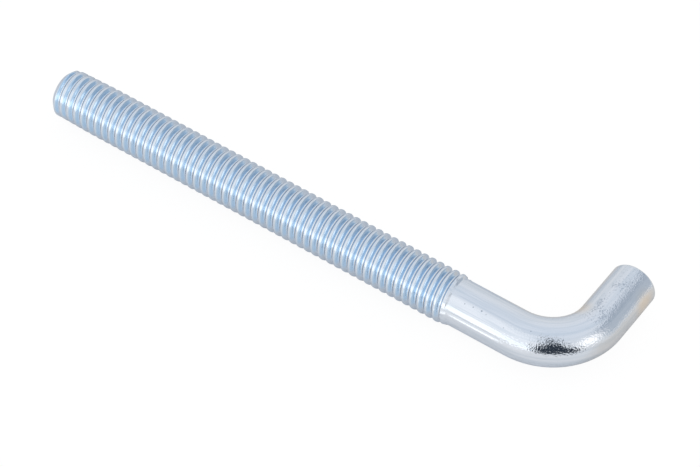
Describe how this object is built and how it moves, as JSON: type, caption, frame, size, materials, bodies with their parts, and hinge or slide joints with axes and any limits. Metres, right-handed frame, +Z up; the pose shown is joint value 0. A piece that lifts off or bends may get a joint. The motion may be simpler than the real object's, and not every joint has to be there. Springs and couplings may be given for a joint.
{
  "type": "screw hook",
  "caption": "Right-angle screw hook: round steel rod with a long machine thread on one leg, bent square into a short plain arm.",
  "frame": {"origin": "on the surface the hook lies on, under the middle of its box", "axes": "+X runs along the long leg from the threaded end to the arm, +Y along the arm to its tip, +Z up from the surface it lies on"},
  "size_m": [0.0706, 0.0166, 0.006],
  "materials": {
    "zinc_plate": "bright zinc plate with a clear blue passivation over steel"
  },
  "bodies": {
    "root": {"screw_hook": "zinc_plate"}
  },
  "joints": []
}
